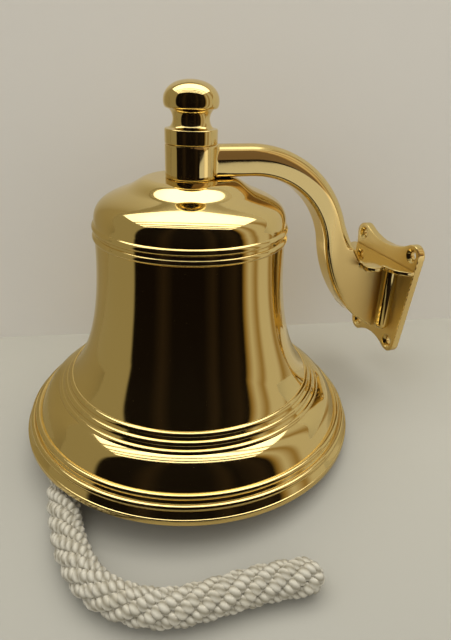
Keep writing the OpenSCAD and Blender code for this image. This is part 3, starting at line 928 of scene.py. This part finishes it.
arm_z = 88.7
arm_half = 8.4
arm_wide = 0.016
arm_start = 10.0
arm_straight = 20.0
bend = (33.0, 27.5)
bend_outer_r = 69.6
bend_inner_r = 52.8
web_top = (201.77, 88.93)
web_top_r = 110
web_low = (167.13, 48.74)
web_low_r = 83
saddle = (117.6, 25.0)
saddle_r = 7
web_x = 134.7
web_foot = -24.0
arm_points = [(arm_start, arm_z + arm_half), (arm_straight, arm_z + arm_half)]
arm_points += arc_points(*bend, bend_outer_r, 90, 20, 36)
arm_points += arc_points(*web_top, web_top_r, 200, 220.15, 14)[1:]
arm_points += arc_points(*saddle, saddle_r, -90, -32, 8)[1:]
arm_points += [(web_x, 22.5), (web_x, web_foot)]
foot_a = 180 + math.degrees(math.asin((web_low[1] - web_foot) / web_low_r))
arm_points += arc_points(*web_low, web_low_r, foot_a, 189, 26)
arm_points += arc_points(*bend, bend_inner_r, 9, 90, 40)[1:]
arm_points += [(arm_straight, arm_z - arm_half), (arm_start, arm_z - arm_half)]
arm = saw_out("bracket_arm_cast", arm_side(arm_points), (arm_wide, 0, 0))
lower_share = 0.38
least_share = 0.12


def edge_rounding(x, z):
    """How much of the bevel an edge of the arm's outline gets: full on top, less below."""
    if not arm_start + 0.5 < x < web_x - 0.7:
        return 0.0
    if z > 36:
        on_top = math.hypot(x - bend[0], z - bend[1]) > (bend_outer_r + bend_inner_r) / 2
        return 1.0 if on_top else lower_share
    if x > 112 and z > 10:
        return max(least_share, min(1.0, (z - 17.0) / 14.0))
    return max(least_share, min(lower_share, z / 14.0))


rounding = arm.data.attributes.new("bevel_weight_edge", "FLOAT", "EDGE")
for edge in arm.data.edges:
    a, b = (arm.data.vertices[i].co for i in edge.vertices)
    if abs(a.x - b.x) < 1e-6:
        middle = (a + b) / 2
        rounding.data[edge.index].value = edge_rounding(middle.y * 1000 + 140, middle.z * 1000)
finish_with(arm, "BEVEL", limit_method="WEIGHT", width=0.0074, segments=10, use_clamp_overlap=False)

collar_at = (0, -0.140, 0.0887)
bolt_hole_r = 0.0051
collar = upright_bar("collar", 0.014, 0.0174, collar_at, 96)
lobe = (14.5, 23.5, 6.5)
wing = (arc_points(*lobe, 130, -40, 20)
        + bezier((18.2, 17.6), (23.5, 18.0), (31.0, 15.5), (33.0, 8.5), 14) + [(33.0, 5.3)])
shelf_line = wing + [(-x, y) for x, y in reversed(wing)]
shelf = saw_out("shelf", [(x / 1000, -y / 1000, 0.021) for x, y in shelf_line], (0, 0, 0.003))
tongue = block("tongue", (-0.0125, -0.0087, -0.0205), (0.0125, -0.0053, 0.0225))
arm = cast_together("bracket_arm_cast", [arm, collar, shelf, tongue], 0.00055, 8)
cut_away(arm, upright_bar("bolt_hole", bolt_hole_r, 0.030, collar_at, 64))
dress(arm, brass_material("bracket_arm_brass", 0.6, 0.9, 0.5, belt=(-0.060, -0.045)))
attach(arm, "bell")
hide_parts("bracket_arm")


def light_list(name):
    """A collection of the bracket's two castings, for lights to be linked to."""
    collection = bpy.data.collections.new(name)
    for piece in (arm, wall_plate):
        collection.objects.link(piece)
    return collection


# The bracket stands in the lee of the overhead light, so it has a dimmer one of
# its own, and three cards that light nothing else.
bracket_pieces = light_list("bracket_pieces")
elsewhere = light_list("not_under_softbox")
for row in elsewhere.collection_objects:
    row.light_linking.link_state = "EXCLUDE"
for lamp in overheads:
    lamp.light_linking.receiver_collection = elsewhere
softbox = soft_light("bracket_softbox", (-0.10, -0.05, 0.70), (-0.10, -0.05, 0.0), 0.60, 0.20, 1.0, room_turn)
softbox.light_linking.receiver_collection = bracket_pieces
for card in (
        soft_light("arm_card", (0.210, 0.060, -0.004), (0.008, -0.050, 0.040), 0.23, 0.118, 0.62),
        soft_light("room_card", (0.50, 0.16, 0.44), (0.0, -0.09, 0.08), 0.95, 0.95, 0.17,
                   tint=(1.0, 0.66, 0.40)),
        soft_light("plate_card", (-0.115, -0.115, -0.010), (0.02, -0.005, 0.0), 0.16, 0.13, 0.76)):
    card.visible_camera = False
    card.light_linking.receiver_collection = bracket_pieces


# Bell: cast bell brass turned all over on the lathe, then buffed. Three beads
# below the shoulder, three on the flare and two at the lip are turned with it.
def fuller(line, first, last, swell):
    """Swells a stretch of the profile outwards, most of all toward its upper end."""
    full = list(line)
    for k in range(first, last + 1):
        share = (k - first) / (last - first)
        ahead = Vector(line[k + 1]) - Vector(line[k - 1])
        out = Vector((ahead.y, -ahead.x)).normalized()
        full[k] = tuple(Vector(line[k]) + swell * math.sin(math.pi * share ** 1.5) * out)
    return full


outside = (arc_points(100.7, 0.8, 0.8, -90, 0, 6) + arc_points(100.7, 3.0, 0.8, 0, 90, 6)
           + fuller(bezier((99.9, 4.8), (93.5, 13.6), (83.5, 25.0), (73.5, 34.0), 60),
                    first=15, last=46, swell=1.65)
           + bezier((73.5, 34.0), (60.5, 47.0), (53.8, 75.0), (53.3, 112.0), 50, 1)
           + bezier((53.3, 127.0), (53.3, 137.0), (47.1, 139.5), (36.0, 143.8), 40)
           + bezier((36.0, 143.8), (31.0, 145.7), (27.5, 150.0), (22.5, 150.0), 24, 1))
inside = ([(14.0, 150.0), (5.1, 150.0), (5.1, 144.0)]
          + bezier((22.5, 144.0), (42.5, 137.5), (48.5, 134.0), (48.5, 112.0), 24)
          + bezier((48.5, 112.0), (51.3, 40.0), (79.0, 12.5), (92.5, 0.0), 50, 1))
bead_r = 2.1
lip_bead_r = 1.8
flare_step = 4.5 / math.sqrt(2)
beads = ([(52.5, 119.5 + 5.2 * k, bead_r) for k in (-1, 0, 1)]
         + [(72.5 + flare_step * k, 33.3 - flare_step * k, bead_r) for k in (0, 1, 2)]
         + [(97.6, 8.4, lip_bead_r), (94.3, 12.4, lip_bead_r)])


def apart(p, q):
    return math.hypot(p[0] - q[0], p[1] - q[1])


def between(p, q, share):
    return (p[0] + (q[0] - p[0]) * share, p[1] + (q[1] - p[1]) * share)


def is_under(p, bead):
    return apart(p, bead) < bead[2]


def crossing(p, q, bead):
    """Where the line from p to q meets the bead's circle."""
    low, high = 0.0, 1.0
    for _ in range(40):
        middle = between(p, q, (low + high) / 2)
        if is_under(middle, bead) == is_under(p, bead):
            low = (low + high) / 2
        else:
            high = (low + high) / 2
    return middle


def with_beads(line):
    """The profile with each bead's outer arc in place of what the bead covers."""
    for bead in beads:
        if not any(is_under(p, bead) for p in line):
            i = min(range(len(line) - 1), key=lambda k: apart(between(line[k], line[k + 1], 0.5), bead))
            p, q = line[i], line[i + 1]
            ahead = (bead[0] - p[0]) * (q[0] - p[0]) + (bead[1] - p[1]) * (q[1] - p[1])
            line = line[:i + 1] + [between(p, q, ahead / apart(p, q) ** 2)] + line[i + 1:]
        covered = [is_under(p, bead) for p in line]
        first = covered.index(True)
        last = len(covered) - 1 - covered[::-1].index(True)
        from_a = way_angle(bead, crossing(line[first - 1], line[first], bead))
        to_a = way_angle(bead, crossing(line[last], line[last + 1], bead))
        if to_a < from_a:
            to_a += 360
        line = line[:first] + arc_points(*bead, from_a, to_a, 12) + line[last + 1:]
    return line


def turn_on_lathe(name, profile, steps, base_z, closed=True):
    """Turns a profile, in millimetres from the bell's axis and up from base_z, right round."""
    line = profile + profile[:1] if closed else profile
    piece = draw_line(name, [(x / 1000, -0.140, base_z + z / 1000) for x, z in line])
    in_edit(piece)
    bpy.ops.mesh.remove_doubles(threshold=1e-7)
    bpy.ops.mesh.select_all(action="SELECT")
    bpy.ops.mesh.spin(steps=steps, angle=2 * math.pi, center=bell_axis, axis=(0, 0, 1))
    bpy.ops.mesh.select_all(action="SELECT")
    bpy.ops.mesh.remove_doubles(threshold=1e-6)
    face_outward()
    bpy.ops.object.shade_smooth_by_angle(angle=math.radians(30))
    return piece


bell = turn_on_lathe("ships_bell", with_beads(outside) + inside, 240, rim_z)
dress(bell, brass_material("bell_brass_buffed", 0.35, 0.6, 0.6))
bell.data.materials.append(brass_material("bell_brass_as_turned", 0.3, 1.0, 0.5, satin=0.36))
for face in bell.data.polygons:
    outward = Vector((face.center.x - bell_axis.x, face.center.y - bell_axis.y, 0)).normalized()
    under_crown = face.normal.z < -0.9 and face.center.z > 0
    if face.normal.dot(outward) < -0.05 or under_crown:
        face.material_index = 1
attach(bell, "bell")
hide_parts("bell")


# Finial: a turned brass knob, screwed down on the king bolt over the collar.
finial_line = ([(0, 0)] + arc_points(13.2, 0.8, 0.8, -90, 0, 5) + arc_points(13.2, 6.9, 0.8, 0, 90, 5)
               + bezier((12.6, 7.7), (10.9, 7.9), (9.7, 10.0), (9.7, 12.4), 16)
               + bezier((9.7, 12.4), (9.7, 15.0), (11.3, 16.8), (12.3, 17.2), 16, 1)
               + bezier((12.3, 17.2), (14.1, 17.2), (14.5, 19.2), (14.5, 20.8), 12, 1)
               + bezier((14.5, 20.8), (14.5, 27.0), (8.5, 31.0), (0, 31.0), 36, 1))
finial_z = 0.0974
finial = turn_on_lathe("turned_finial", finial_line, 128, finial_z, closed=False)
cut_away(finial, upright_bar("bolt_bore", bolt_hole_r, 0.036, (0, -0.140, finial_z), 64))
dress(finial, brass_material("finial_brass", 0.6, 0.9, 0.5))
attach(finial, "bell")
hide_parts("finial")


# Bolt, washer, nut and pin inside the crown, and the clapper that swings there.
bolt_brass = brass_material("bolt_brass_machined", 0.3, 1.0, 0.3)
steel, s_nodes, s_links, s_shader = new_material("steel_wire_drawn")
s_place = s_nodes.new("ShaderNodeTexCoord").outputs["Object"]
drawn = noise_node(s_nodes, s_links, s_place, 900, 3, (1, 0.1, 1))
s_links.new(mix_node(s_nodes, s_links, drawn, (0.60, 0.60, 0.59), (0.48, 0.48, 0.48)),
            s_shader.inputs["Base Color"])
s_links.new(map_node(s_nodes, s_links, drawn, 0.3, 0.7, 0.16, 0.34), s_shader.inputs["Roughness"])
s_shader.inputs["Metallic"].default_value = 1.0
for node in ("king_bolt", "crown_washer", "crown_nut", "clevis_pin", "split_pin", "clapper_rod",
             "clapper_ball"):
    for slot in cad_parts[node].material_slots:
        slot.material = steel if node == "split_pin" else bolt_brass
